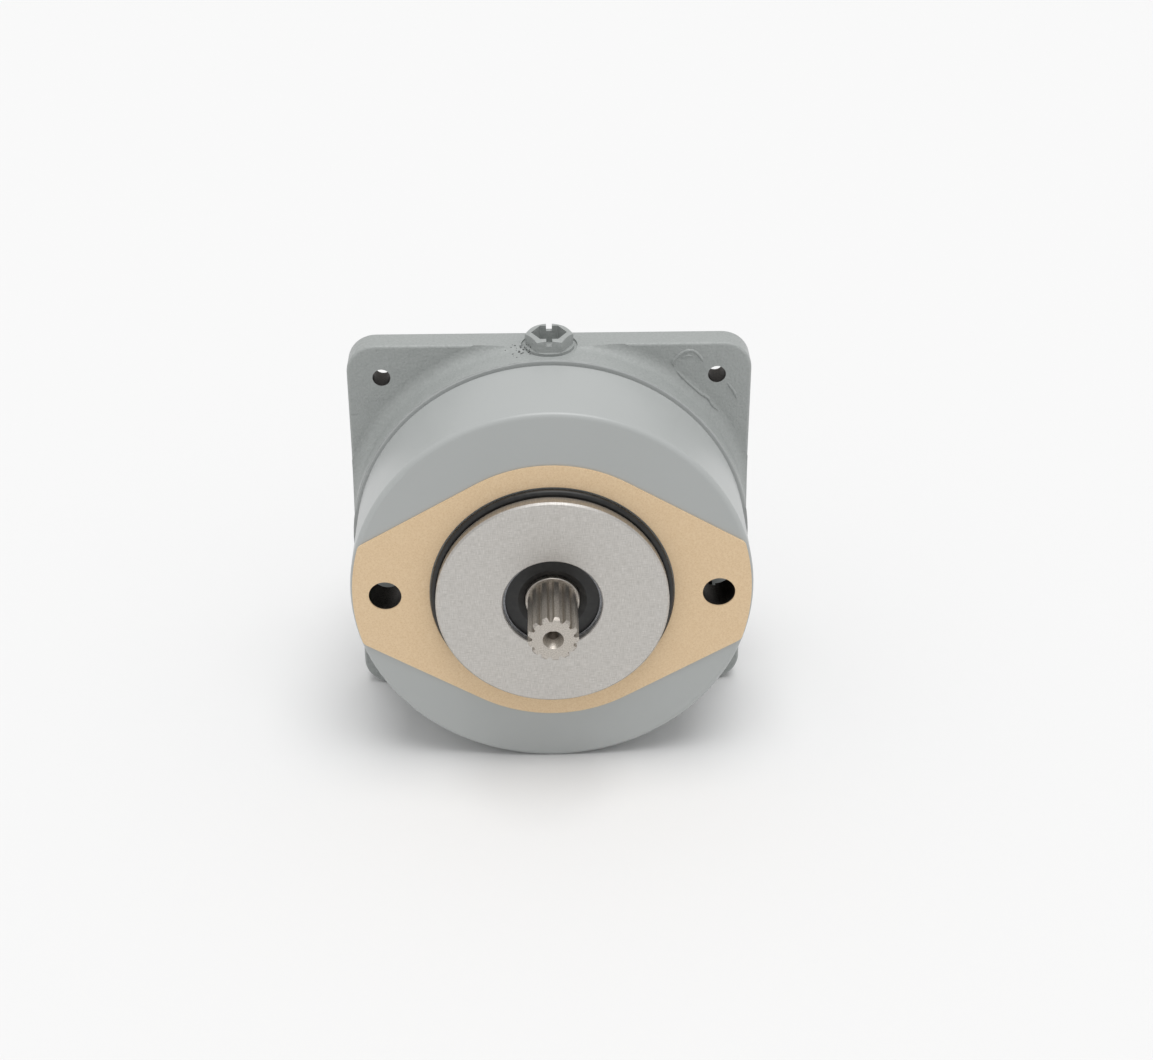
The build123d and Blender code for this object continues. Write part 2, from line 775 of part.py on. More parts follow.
# Rest positions of the two spherical tips that touch the lever pads
control_tip_y = tilt_y + (servo_tip_radius + pad_face + 0.02 + lever_arm * tilt_sin) / tilt_cos
bias_tip_y = tilt_y + (servo_tip_radius + pad_face - lever_arm * tilt_sin) / tilt_cos + 0.13

with BuildPart() as control_piston:
    control_axis = Axis((0, 0, -lever_arm), (0, 1, 0))
    control_plane = Plane(origin=(0, 0, -lever_arm))
    with Locations((0, control_tip_y, -lever_arm)):
        Sphere(servo_tip_radius)
    turned(
        [
            (0, control_tip_y),
            (servo_tip_radius - 1, control_tip_y),
            (servo_tip_radius - 1, control_tip_y + servo_tip_length),
            (servo_radius - 0.5, control_tip_y + servo_tip_length),
            (servo_radius, control_tip_y + servo_tip_length + 0.5),
            (servo_radius, control_end - bevel),
            (servo_radius - bevel, control_end),
            (0, control_end),
        ],
        control_axis,
        control_plane,
    )
    for groove in (control_end - 8, control_end - 14):
        bored(
            ring(servo_radius - 0.6, servo_radius + 1, groove, groove + 1.2),
            control_axis,
            control_plane,
        )

with BuildPart() as bias_plunger:
    bias_axis = Axis((0, 0, lever_arm), (0, 1, 0))
    bias_plane = Plane(origin=(0, 0, lever_arm))
    bias_end = servo_bore_end - 22.0
    bias_pocket = bias_tip_y + 14.0
    with Locations((0, bias_tip_y, lever_arm)):
        Sphere(servo_tip_radius)
    turned(
        [
            (0, bias_tip_y),
            (servo_tip_radius - 1, bias_tip_y),
            (servo_tip_radius - 1, bias_tip_y + servo_tip_length),
            (servo_radius - bevel, bias_tip_y + servo_tip_length + 1),
            (servo_radius, bias_tip_y + servo_tip_length + 1 + bevel),
            (servo_radius, bias_end),
            (servo_radius - 1.95, bias_end),
            (servo_radius - 1.95, bias_pocket),
            (0, bias_pocket),
        ],
        bias_axis,
        bias_plane,
    )

with BuildPart() as bias_spring:
    coil(
        bias_wire_radius,
        servo_radius - 3.25,
        bias_spring_turns,
        (0, bias_pocket, lever_arm),
        (0, 1, 0),
        servo_bore_end - bias_pocket,
    )

# --- Rotating group ---------------------------------------------------------------------------

with BuildPart() as ball_guide:
    with Locations(tilt_centre):
        Sphere(guide_radius)
    with BuildSketch(section(tilt_y + guide_radius)) as guide_ends:
        Rectangle(3 * guide_radius, 3 * guide_radius)
    extrude(guide_ends.sketch, amount=tilt_y + guide_radius - guide_end, mode=Mode.SUBTRACT)
    with BuildSketch(section(guide_start)) as guide_front:
        Rectangle(3 * guide_radius, 3 * guide_radius)
    extrude(guide_front.sketch, amount=guide_radius, mode=Mode.SUBTRACT)
    with BuildSketch(section(guide_end)):
        Circle(drive_spline_major + spline_gap)
        tooth_spaces(drive_spline_teeth, drive_teeth, mode=Mode.SUBTRACT)
    extrude(amount=guide_end - guide_start, mode=Mode.SUBTRACT)

with BuildPart() as shoe_retainer:
    with BuildSketch(swash_section(retainer_collar_height)):
        Circle(retainer_collar_radius)
        Circle(guide_radius - 4, mode=Mode.SUBTRACT)
    extrude(amount=retainer_collar_height - retainer_back + retainer_thickness)
    with BuildSketch(swash_section(retainer_back)):
        Circle(retainer_outer)
        Circle(guide_radius - 4, mode=Mode.SUBTRACT)
    extrude(amount=retainer_thickness)
    with BuildSketch(swash_section(retainer_back + 0.5)):
        with PolarLocations(ball_circle_radius, piston_count, start_angle=90):
            Circle(socket_body_radius + 0.25)
    extrude(amount=retainer_thickness + 1, mode=Mode.SUBTRACT)
    with Locations(tilt_centre):
        Sphere(guide_radius + spline_gap, mode=Mode.SUBTRACT)

slippers = []
pistons = []
for angle in piston_angles:
    centre = ball_centre(angle)
    slipper_plane = Plane(origin=centre, x_dir=(1, 0, 0), z_dir=(0, -tilt_sin, tilt_cos))
    slipper_axis = Axis(centre, tilt_normal)
    sole = wear_face + film_gap
    flange_back = wear_face + slipper_flange_thickness - running_gap
    with BuildPart() as slipper:
        turned(
            [
                (oil_hole_radius, sole + sole_pocket_depth),
                (sole_pocket_radius, sole + sole_pocket_depth),
                (sole_pocket_radius, sole),
                (slipper_flange_radius - 0.4, sole),
                (slipper_flange_radius, sole + 0.4),
                (slipper_flange_radius, flange_back),
                (socket_body_radius, flange_back),
                (socket_body_radius, socket_height - 0.4),
                (socket_body_radius - 0.4, socket_height),
                (oil_hole_radius, socket_height),
            ],
            slipper_axis,
            slipper_plane,
        )
        with Locations(centre):
            Sphere(ball_joint_radius + running_gap, mode=Mode.SUBTRACT)
    slippers.append(slipper)

    piston_plane = Plane(origin=centre)
    piston_axis = Axis(centre, (0, 1, 0))
    with BuildPart() as piston:
        with Locations(centre):
            Sphere(ball_joint_radius)
        turned(
            [
                (0, 0),
                (neck_radius, 0),
                (neck_radius, piston_neck_end),
                (piston_radius - 1.3, piston_neck_end),
                (piston_radius, piston_neck_end + 1.3),
                (piston_radius, piston_length - 0.6),
                (piston_radius - 0.6, piston_length),
                (0, piston_length),
            ],
            piston_axis,
            piston_plane,
        )
        hollow = piston_radius - piston_wall
        bored(
            [
                (0, piston_hollow_start),
                (hollow, piston_hollow_start + 3),
                (hollow, piston_length + 1),
                (0, piston_length + 1),
            ],
            piston_axis,
            piston_plane,
        )
        oil_hole = ring(0, oil_hole_radius, -ball_joint_radius - 1, piston_hollow_start + 1)
        bored(oil_hole, piston_axis, piston_plane)
    pistons.append(piston)

with BuildPart() as cylinder_barrel:
    turned(bevelled_ring(0, barrel_radius, barrel_start, barrel_end - film_gap, 1.0), Axis.Y)
    with BuildSketch(section(bore_end)):
        with PolarLocations(bore_pitch_radius, piston_count, start_angle=90):
            Circle(bore_radius)
    extrude(amount=bore_end - barrel_start + 1, mode=Mode.SUBTRACT)
    with BuildSketch(section(barrel_end + 1)):
        for angle in piston_angles:
            start = angle - barrel_kidney_reach
            arc = CenterArc(
                (0, 0), bore_pitch_radius, start, 2 * barrel_kidney_reach, mode=Mode.PRIVATE
            )
            SlotArc(arc, 2 * kidney_half_width)
    extrude(amount=barrel_end - bore_end + 3, mode=Mode.SUBTRACT)
    with BuildSketch(section(barrel_end + 1)):
        Circle(chamber_radius)
    extrude(amount=barrel_end + 1 - chamber_start, mode=Mode.SUBTRACT)
    with BuildSketch(section(snap_groove_start + snap_ring_thickness + spline_gap)):
        Circle(chamber_radius + 1.3)
    extrude(amount=snap_ring_thickness + spline_gap, mode=Mode.SUBTRACT)
    with BuildSketch(section(chamber_start + 1)):
        Circle(drive_spline_major + spline_gap)
        tooth_spaces(drive_spline_teeth, drive_teeth, mode=Mode.SUBTRACT)
    extrude(amount=chamber_start + 1 - barrel_start + 1, mode=Mode.SUBTRACT)
    with BuildSketch(section(chamber_start + 1)):
        with PolarLocations(pin_pitch_radius, pin_count, start_angle=90):
            Circle(pin_radius + spline_gap)
    extrude(amount=chamber_start + 1 - barrel_start + 1, mode=Mode.SUBTRACT)

front_washer_start = chamber_start + 0.5
front_washer_end = front_washer_start + washer_thickness
rear_washer_start = snap_groove_start - washer_thickness

with BuildPart() as hold_down_pins:
    with BuildSketch(section(front_washer_start)):
        with PolarLocations(pin_pitch_radius, pin_count, start_angle=90):
            Circle(pin_radius)
    extrude(amount=front_washer_start - guide_end)

with BuildPart() as spring_washers:
    rim = chamber_radius - 0.3
    turned(ring(drive_spline_major + 0.5, rim, front_washer_start, front_washer_end), Axis.Y)
    turned(ring(shaft_radius - 0.4, rim, rear_washer_start, snap_groove_start), Axis.Y)

with BuildPart() as barrel_spring:
    coil(
        barrel_wire_radius,
        chamber_radius - 2.6,
        barrel_spring_turns,
        (0, front_washer_end, 0),
        (0, 1, 0),
        rear_washer_start - front_washer_end,
    )

with BuildPart() as barrel_snap_ring:
    with BuildSketch(section(snap_groove_start + snap_ring_thickness)):
        Circle(chamber_radius + 1.2)
        Circle(chamber_radius - 1.8, mode=Mode.SUBTRACT)
        with Locations((0, -chamber_radius)):
            Rectangle(7, 7, mode=Mode.SUBTRACT)
    extrude(amount=snap_ring_thickness)

# --- Valve plate, port block and rear bearing ----------------------------------------------------

with BuildPart() as valve_plate:
    rim = block_cavity_radius - 0.2
    turned(bevelled_ring(shaft_radius + 1, rim, barrel_end, valve_plate_end, 0.5), Axis.Y)
    with BuildSketch(section(valve_plate_end + 1)):
        kidney_slots()
    extrude(amount=valve_plate_thickness + 2, mode=Mode.SUBTRACT)

with BuildPart() as port_block_gasket:
    with BuildSketch(section(block_start)):
        Circle(port_flange_radius)
        Circle(cavity_radius, mode=Mode.SUBTRACT)
        with port_screw_spots():
            Circle(port_screw_radius + 0.5, mode=Mode.SUBTRACT)
    extrude(amount=gasket_thickness)

with BuildPart() as port_block:
    turned(
        [
            (0, block_start),
            (port_flange_radius, block_start),
            (port_flange_radius, port_flange_end - port_flange_bevel),
            (port_flange_radius - port_flange_bevel, port_flange_end),
            (0, port_flange_end),
        ],
        Axis.Y,
    )
    with BuildSketch(section(block_end)):
        RectangleRounded(2 * block_half_width, 2 * block_half_height, block_corner)
    extrude(amount=block_end - block_start - 1)
    with BuildSketch(section(bias_boss_end)):
        with Locations((0, boss_top / 2)):
            RectangleRounded(2 * boss_half_width, boss_top, boss_corner)
    extrude(amount=bias_boss_end - block_start - 1)
    with BuildSketch(section(control_boss_end)):
        with Locations((0, -boss_top / 2)):
            RectangleRounded(2 * boss_half_width, boss_top, boss_corner)
    extrude(amount=control_boss_end - block_start - 1)
    fillet(port_block.faces().sort_by(Axis.Y)[-1].edges(), 3.0)
    with BuildSketch(section(valve_plate_end)):
        Circle(block_cavity_radius)
    extrude(amount=valve_plate_end - block_start, mode=Mode.SUBTRACT)
    # Bores of the control piston, the bias plunger and the stop screw
    with BuildSketch(section(servo_bore_end)):
        with GridLocations(0, 2 * lever_arm, 1, 2):
            Circle(servo_bore_radius)
    extrude(amount=servo_bore_end - block_start, mode=Mode.SUBTRACT)
    with BuildSketch(section(control_boss_end + 1)):
        with Locations((0, -lever_arm)):
            Circle(stop_screw_radius + running_gap)
    extrude(amount=control_boss_end - servo_bore_end + 2, mode=Mode.SUBTRACT)
    # Bore of the rear bearing
    with BuildSketch(section(needle_cup_end + 1)):
        Circle(needle_cup_radius)
    extrude(amount=needle_cup_end + 1 - valve_plate_end, mode=Mode.SUBTRACT)
    # Kidney passages that open into the two flanged ports
    with BuildSketch(section(valve_plate_end + kidney_depth)):
        kidney_slots()
    extrude(amount=kidney_depth + 1, mode=Mode.SUBTRACT)
    ports = ((-port_offset, inlet_radius, inlet_bolts), (port_offset, outlet_radius, outlet_bolts))
    for port_x, port_radius, port_bolts in ports:
        with BuildSketch(section(block_end)):
            with Locations((port_x, 0)):
                Circle(port_radius)
        extrude(amount=port_depth, mode=Mode.SUBTRACT)
        with BuildSketch(section(block_end)):
            with Locations((port_x, 0)):
                with GridLocations(*port_bolts, 2, 2):
                    Circle(port_bolt_radius)
        extrude(amount=port_bolt_depth, mode=Mode.SUBTRACT)
    # Holes of the flange screws
    with BuildSketch(section(port_flange_end + 1)):
        with port_screw_spots():
            Circle(port_screw_radius + 0.5)
    extrude(amount=port_flange_end - block_start + 2, mode=Mode.SUBTRACT)
    # Pressure gallery to the compensator and its tapped holes
    with BuildSketch(Plane(origin=(0, 0, -block_half_height - 1))):
        with Locations((port_offset, gallery_y)):
            Circle(gallery_radius)
    extrude(amount=block_half_height - outlet_radius + 5, mode=Mode.SUBTRACT)
    with BuildSketch(Plane(origin=(0, 0, -block_half_height - 1))):
        with Locations(*comp_screw_spots):
            Circle(comp_screw_radius)
    extrude(amount=comp_screw_grip + 2, mode=Mode.SUBTRACT)

with BuildPart() as port_block_screws:
    with BuildSketch(section(port_flange_end)):
        with port_screw_spots():
            Circle(port_screw_radius - running_gap)
    extrude(amount=port_flange_end - plate_end + port_screw_grip)
    with BuildSketch(section(port_flange_end + port_screw_head_height)):
        with port_screw_spots():
            Circle(port_screw_head_radius)
    extrude(amount=port_screw_head_height)
    with BuildSketch(section(port_flange_end + port_screw_head_height)):
        with port_screw_spots():
            RegularPolygon(port_screw_socket, 6, major_radius=False)
    extrude(amount=port_screw_socket_depth, mode=Mode.SUBTRACT)

with BuildPart() as rear_bearing_cup:
    turned(
        [
            (tail_radius + 0.6, needle_cup_start),
            (needle_cup_radius - press_gap, needle_cup_start),
            (needle_cup_radius - press_gap, needle_cup_end),
            (tail_radius + 0.6, needle_cup_end),
            (tail_radius + 0.6, needle_cup_end - 1),
            (needle_cup_radius - 1, needle_cup_end - 1),
            (needle_cup_radius - 1, needle_cup_start + 1),
            (tail_radius + 0.6, needle_cup_start + 1),
        ],
        Axis.Y,
    )

with BuildPart() as rear_bearing_needles:
    with BuildSketch(section(needle_cup_end - 1.1)):
        with PolarLocations(tail_radius + 1, needle_count):
            Circle(needle_radius)
    extrude(amount=needle_cup_end - needle_cup_start - 2.2)

# --- Stop screw ----------------------------------------------------------------------------------

with BuildPart() as stop_screw_pad:
    with BuildSketch(section(stop_pad_end)):
        with Locations((0, -lever_arm)):
            Circle(stop_screw_radius - 1)
    extrude(amount=stop_pad_end - control_end - 0.1)

with BuildPart() as volume_stop_screw:
    with BuildSketch(section(block_end)):
        with Locations((0, -lever_arm)):
            Circle(stop_screw_radius)
    extrude(amount=block_end - stop_pad_end)
    with BuildSketch(section(block_end)):
        with Locations((0, -lever_arm)):
            RegularPolygon(stop_screw_radius / 2, 6, major_radius=False)
    extrude(amount=stop_screw_radius, mode=Mode.SUBTRACT)

with BuildPart() as stop_screw_locknut:
    with BuildSketch(section(control_boss_end + stop_nut_height)):
        with Locations((0, -lever_arm)):
            RegularPolygon(stop_nut_half_width, 6, major_radius=False)
            Circle(stop_screw_radius + running_gap, mode=Mode.SUBTRACT)
    extrude(amount=stop_nut_height)

# --- Pressure compensator ------------------------------------------------------------------------

with BuildPart() as compensator_body:
    with BuildSketch(Plane(origin=(0, 0, comp_bottom))):
        with Locations((comp_middle, comp_axis_y)):
            RectangleRounded(comp_length, comp_back - comp_front, comp_corner)
    extrude(amount=comp_height)
    with BuildSketch(Plane(origin=(0, 0, comp_bottom))):
        with Locations(*comp_screw_spots):
            Circle(comp_screw_head_radius + 0.35)
    extrude(amount=comp_screw_recess, mode=Mode.SUBTRACT)
    with BuildSketch(Plane(origin=(0, 0, comp_bottom))):
        with Locations(*comp_screw_spots):
            Circle(comp_screw_radius + 0.2)
    extrude(amount=comp_height + 1, mode=Mode.SUBTRACT)
    with BuildSketch(comp_section(comp_end)):
        Circle(spring_chamber_radius)
    extrude(amount=comp_end - spool_bore_end, mode=Mode.SUBTRACT)
    with BuildSketch(comp_section(spool_bore_end)):
        Circle(spool_bore_radius)
    extrude(amount=spool_bore_end - comp_start, mode=Mode.SUBTRACT)
    with BuildSketch(comp_section(comp_start + plug_depth)):
        Circle(comp_plug_radius)
    extrude(amount=plug_depth + 1, mode=Mode.SUBTRACT)
    with BuildSketch(Plane(origin=(0, 0, comp_axis_z))):
        with Locations((port_offset, gallery_y)):
            Circle(gallery_radius)
    extrude(amount=comp_height, mode=Mode.SUBTRACT)

with BuildPart() as compensator_screws:
    with BuildSketch(Plane(origin=(0, 0, comp_bottom + 0.5))):
        with Locations(*comp_screw_spots):
            Circle(comp_screw_head_radius)
            RegularPolygon(comp_screw_socket, 6, major_radius=False, mode=Mode.SUBTRACT)
    extrude(amount=comp_screw_recess - 2.5)
    with BuildSketch(Plane(origin=(0, 0, comp_bottom + comp_screw_recess - 2))):
        with Locations(*comp_screw_spots):
            Circle(comp_screw_head_radius)
    extrude(amount=2)
    with BuildSketch(Plane(origin=(0, 0, comp_bottom + comp_screw_recess))):
        with Locations(*comp_screw_spots):
            Circle(comp_screw_radius - running_gap)
    extrude(amount=comp_height - comp_screw_recess + comp_screw_grip)

with BuildPart() as compensator_end_plug:
    with BuildSketch(comp_section(comp_start + plug_depth)):
        Circle(comp_plug_radius - press_gap)
    extrude(amount=plug_depth)
    with BuildSketch(comp_section(comp_start + plug_depth / 2)):
        RegularPolygon(comp_plug_radius - 4, 6, major_radius=False)
    extrude(amount=plug_depth / 2, mode=Mode.SUBTRACT)

with BuildPart() as compensator_spool:
    start = comp_start + plug_depth + running_gap
    turned(
        [
            (0, start),
            (spool_radius, start),
            (spool_radius, start + spool_land),
            (spool_radius - 1.75, start + spool_land),
            (spool_radius - 1.75, spool_bore_end - 5),
            (spool_radius, spool_bore_end - 5),
            (spool_radius, spool_bore_end + 0.5),
            (spring_chamber_radius - 1, spool_bore_end + 0.5),
            (spring_chamber_radius - 1, spool_end),
            (0, spool_end),
        ],
        comp_axis,
        comp_plane,
    )

with BuildPart() as compensator_spring:
    coil(
        comp_wire_radius,
        spring_chamber_radius - 1.9,
        comp_spring_turns,
        (spool_end, comp_axis_y, comp_axis_z),
        (1, 0, 0),
        seat_start - spool_end,
    )

with BuildPart() as compensator_spring_seat:
    with BuildSketch(comp_section(seat_start + seat_thickness)):
        Circle(spring_chamber_radius - 0.1)
    extrude(amount=seat_thickness)

with BuildPart() as compensator_bonnet:
    with BuildSketch(comp_section(bonnet_end)):
        RegularPolygon(bonnet_half_width, 6, major_radius=False)
        Circle(adjuster_radius + running_gap, mode=Mode.SUBTRACT)
    extrude(amount=bonnet_wall)
    with BuildSketch(comp_section(bonnet_end - bonnet_wall)):
        RegularPolygon(bonnet_half_width, 6, major_radius=False)
        Circle(spring_chamber_radius, mode=Mode.SUBTRACT)
    extrude(amount=bonnet_length - bonnet_wall)

with BuildPart() as adjuster_screw:
    with BuildSketch(comp_section(bonnet_end + adjuster_reach)):
        Circle(adjuster_radius)
    extrude(amount=bonnet_end + adjuster_reach - seat_start - seat_thickness)
    with BuildSketch(comp_section(bonnet_end + adjuster_reach)):
        RegularPolygon(adjuster_radius / 2, 6, major_radius=False)
    extrude(amount=adjuster_radius, mode=Mode.SUBTRACT)

with BuildPart() as adjuster_locknut:
    with BuildSketch(comp_section(bonnet_end + adjuster_nut_height)):
        RegularPolygon(adjuster_nut_half_width, 6, major_radius=False)
        Circle(adjuster_radius + running_gap, mode=Mode.SUBTRACT)
    extrude(amount=adjuster_nut_height)

pieces = {
    "housing": housing,
    "mounting_gasket": mounting_gasket,
    "pilot_o_ring": pilot_o_ring,
    "shaft_seal": shaft_seal,
    "seal_retaining_ring": seal_retaining_ring,
    "front_bearing_outer_race": front_bearing_outer_race,
    "front_bearing_inner_race": front_bearing_inner_race,
    "front_bearing_balls": front_bearing_balls,
    "front_bearing_cage": front_bearing_cage,
    "bearing_retaining_ring": bearing_retaining_ring,
    "case_drain_plug": case_drain_plug,
    "drive_shaft": drive_shaft,
    "saddle_bearings": saddle_bearings,
    "swash_plate": swash_plate,
    "control_piston": control_piston,
    "bias_plunger": bias_plunger,
    "bias_spring": bias_spring,
    "ball_guide": ball_guide,
    "shoe_retainer": shoe_retainer,
    "cylinder_barrel": cylinder_barrel,
    "hold_down_pins": hold_down_pins,
    "spring_washers": spring_washers,
    "barrel_spring": barrel_spring,
    "barrel_snap_ring": barrel_snap_ring,
    "valve_plate": valve_plate,
    "port_block_gasket": port_block_gasket,
    "port_block": port_block,
    "port_block_screws": port_block_screws,
    "rear_bearing_cup": rear_bearing_cup,
    "rear_bearing_needles": rear_bearing_needles,
    "stop_screw_pad": stop_screw_pad,
    "volume_stop_screw": volume_stop_screw,
    "stop_screw_locknut": stop_screw_locknut,
    "compensator_body": compensator_body,
    "compensator_screws": compensator_screws,
    "compensator_end_plug": compensator_end_plug,
    "compensator_spool": compensator_spool,
    "compensator_spring": compensator_spring,
    "compensator_spring_seat": compensator_spring_seat,
    "compensator_bonnet": compensator_bonnet,
    "adjuster_screw": adjuster_screw,
    "adjuster_locknut": adjuster_locknut,
}
for index, (slipper, piston) in enumerate(zip(slippers, pistons), start=1):
    pieces[f"slipper_{index}"] = slipper
    pieces[f"piston_{index}"] = piston

os.makedirs("parts", exist_ok=True)
for name, piece in pieces.items():
    piece.part.label = name
    export_step(piece.part, f"parts/{name}.step")
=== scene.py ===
import math
import random

import bpy
from mathutils import Matrix, Vector


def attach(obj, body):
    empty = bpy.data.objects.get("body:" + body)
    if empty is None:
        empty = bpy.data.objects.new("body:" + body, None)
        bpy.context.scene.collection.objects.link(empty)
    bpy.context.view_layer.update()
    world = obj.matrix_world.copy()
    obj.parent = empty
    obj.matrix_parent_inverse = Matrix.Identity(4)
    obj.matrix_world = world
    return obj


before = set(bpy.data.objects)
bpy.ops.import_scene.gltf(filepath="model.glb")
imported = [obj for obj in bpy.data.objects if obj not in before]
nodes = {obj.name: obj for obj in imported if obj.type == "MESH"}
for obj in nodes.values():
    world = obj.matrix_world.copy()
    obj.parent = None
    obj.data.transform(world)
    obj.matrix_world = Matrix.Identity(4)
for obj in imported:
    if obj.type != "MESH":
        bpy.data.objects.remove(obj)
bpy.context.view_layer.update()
mm = 0.001
print("frame loaded")


def linearColour(hexCode):
    # sRGB hex to the linear values that the shaders work in
    channels = [int(hexCode[start:start + 2], 16) / 255 for start in (0, 2, 4)]
    curve = [c / 12.92 if c <= 0.04045 else ((c + 0.055) / 1.055) ** 2.4 for c in channels]
    return (*curve, 1)


def addNode(material, kind, settings=None, links=None):
    # settings fill sockets or properties, links join sockets to the outputs of other nodes
    node = material.node_tree.nodes.new(kind)
    for name, value in (settings or {}).items():
        if isinstance(name, int) or name in node.inputs:
            node.inputs[name].default_value = value
        else:
            setattr(node, name, value)
    for name, output in (links or {}).items():
        material.node_tree.links.new(output, node.inputs[name])
    return node


def newMaterial(name, surface):
    # an empty material with one Principled shader, whose fixed values come from the finish
    material = bpy.data.materials.new(name)
    material.use_nodes = True
    material.node_tree.nodes.clear()
    shader = addNode(material, "ShaderNodeBsdfPrincipled", surface)
    output = addNode(material, "ShaderNodeOutputMaterial")
    material.node_tree.links.new(shader.outputs[0], output.inputs["Surface"])
    return material, shader


def rampColours(material, fraction, stops):
    ramp = addNode(material, "ShaderNodeValToRGB", links={"Fac": fraction})
    elements = ramp.color_ramp.elements
    while len(elements) < len(stops):
        elements.new(0.5)
    for element, (place, colour) in zip(elements, stops):
        element.position = place
        element.color = colour
    return ramp.outputs["Color"]


def link(material, output, target):
    material.node_tree.links.new(output, target)


# Enamel over grey iron: a smooth satin skin on the turned body, and sand grain where the casting
# was left raw. Distances are in mm
enamel = {
    "base": "AEB1B0",
    "thin": "9A9E9C",
    "roughness": 0.36,
    "sandGrain": 1.1,
    "blisterSize": 6.0,
    "blisterShare": 1.6,
    "sandRelief": 0.34,
    "sandRoughness": 0.16,
    "skinRelief": 0.02,
    "orangePeel": 1.6,
    "cloudSize": 71.43,
    "cloudShare": 0.35,
    "coat": 0.15,
    "coatRoughness": 0.3,
    "castBlend": 0.6,
    "castFromY": 47.6,
    "pit": "3A3C3B",
    # the pit tone is painted shade standing in for the blowholes' cavities
    "pitPlace": (-13.0, 58.5, 88.6),
    "pitReach": 9.0,
    "pitSize": 1.7,
    "pitShare": 0.36,
}


def enamelPaint(name, settings):
    coat = {"Coat Weight": settings["coat"], "Coat Roughness": settings["coatRoughness"]}
    material, shader = newMaterial(name, coat)
    place = addNode(material, "ShaderNodeTexCoord").outputs["Object"]
    axes = addNode(material, "ShaderNodeSeparateXYZ", links={0: place})
    # raw casting behind the turned body, on a short blend
    castEnd = settings["castFromY"]
    cast = addNode(
        material,
        "ShaderNodeMapRange",
        {"From Min": (castEnd - settings["castBlend"]) * mm, "From Max": castEnd * mm},
        {"Value": axes.outputs["Y"]},
    ).outputs["Result"]
    noises = [
        addNode(
            material,
            "ShaderNodeTexNoise",
            {"Scale": 1 / (settings[size] * mm), "Detail": detail, "Roughness": rough},
            {"Vector": place},
        ).outputs["Fac"]
        for size, detail, rough in (
            ("sandGrain", 4.0, 0.6),
            ("blisterSize", 2.0, 0.5),
            ("orangePeel", 1.0, 0.5),
            ("cloudSize", 3.0, 0.5),
        )
    ]
    sand, blister, peel, cloud = noises
    # paint lies a little thinner, so darker, on the crests of the sand grain
    tone = addNode(
        material, "ShaderNodeMath", {"operation": "MULTIPLY"}, {0: sand, 1: cast}
    ).outputs[0]
    toned = addNode(
        material,
        "ShaderNodeMath",
        {"operation": "MULTIPLY_ADD", 1: settings["cloudShare"]},
        {0: cloud, 2: tone},
    ).outputs[0]
    colour = rampColours(
        material,
        toned,
        [(0.10, linearColour(settings["base"])), (0.85, linearColour(settings["thin"]))],
    )
    # small dark spots in one patch of the casting: painted shade of open blowholes that the
    # paint hasn't filled, which are not modelled as holes
    away = addNode(
        material,
        "ShaderNodeVectorMath",
        {"operation": "DISTANCE", 1: [at * mm for at in settings["pitPlace"]]},
        {0: place},
    ).outputs["Value"]
    patch = addNode(
        material,
        "ShaderNodeMapRange",
        {
            "From Min": 0.4 * settings["pitReach"] * mm,
            "From Max": settings["pitReach"] * mm,
            "To Min": settings["pitShare"],
            "To Max": 0.0,
        },
        {"Value": away},
    ).outputs["Result"]
    cells = addNode(
        material,
        "ShaderNodeTexVoronoi",
        {"Scale": 1 / (settings["pitSize"] * mm), "Randomness": 1.0},
        {"Vector": place},
    ).outputs["Distance"]
    pitShadeMask = addNode(
        material, "ShaderNodeMath", {"operation": "LESS_THAN"}, {0: cells, 1: patch}
    ).outputs[0]
    pitShaded = addNode(
        material,
        "ShaderNodeMix",
        {"data_type": "RGBA", 7: linearColour(settings["pit"])},
        {0: pitShadeMask, 6: colour},
    ).outputs[2]
    link(material, pitShaded, shader.inputs["Base Color"])
    rough = addNode(
        material,
        "ShaderNodeMapRange",
        {
            "To Min": settings["roughness"],
            "To Max": settings["roughness"] + settings["sandRoughness"],
        },
        {"Value": tone},
    ).outputs["Result"]
    link(material, rough, shader.inputs["Roughness"])
    height = addNode(
        material,
        "ShaderNodeMath",
        {"operation": "MULTIPLY_ADD", 1: settings["blisterShare"]},
        {0: blister, 2: sand},
    ).outputs[0]
    castHeight = addNode(
        material, "ShaderNodeMath", {"operation": "MULTIPLY"}, {0: height, 1: cast}
    ).outputs[0]
    castBump = addNode(
        material,
        "ShaderNodeBump",
        {"Strength": 1.0, "Distance": settings["sandRelief"] * mm},
        {"Height": castHeight},
    )
    skinBump = addNode(
        material,
        "ShaderNodeBump",
        {"Strength": 1.0, "Distance": settings["skinRelief"] * mm},
        {"Height": peel, "Normal": castBump.outputs["Normal"]},
    )
    link(material, skinBump.outputs["Normal"], shader.inputs["Normal"])
    return material


# Turned cast iron, rubbed with fine abrasive cloth: crossing hairlines
turned = {
    "bright": "D2CFCB",
    "dull": "B8B5B0",
    "roughness": 0.38,
    "hairline": 0.26,
    "hairlineLength": 3.2,
    "relief": 0.004,
    "worn": 0.14,  # added roughness where the rubbing is deepest
}


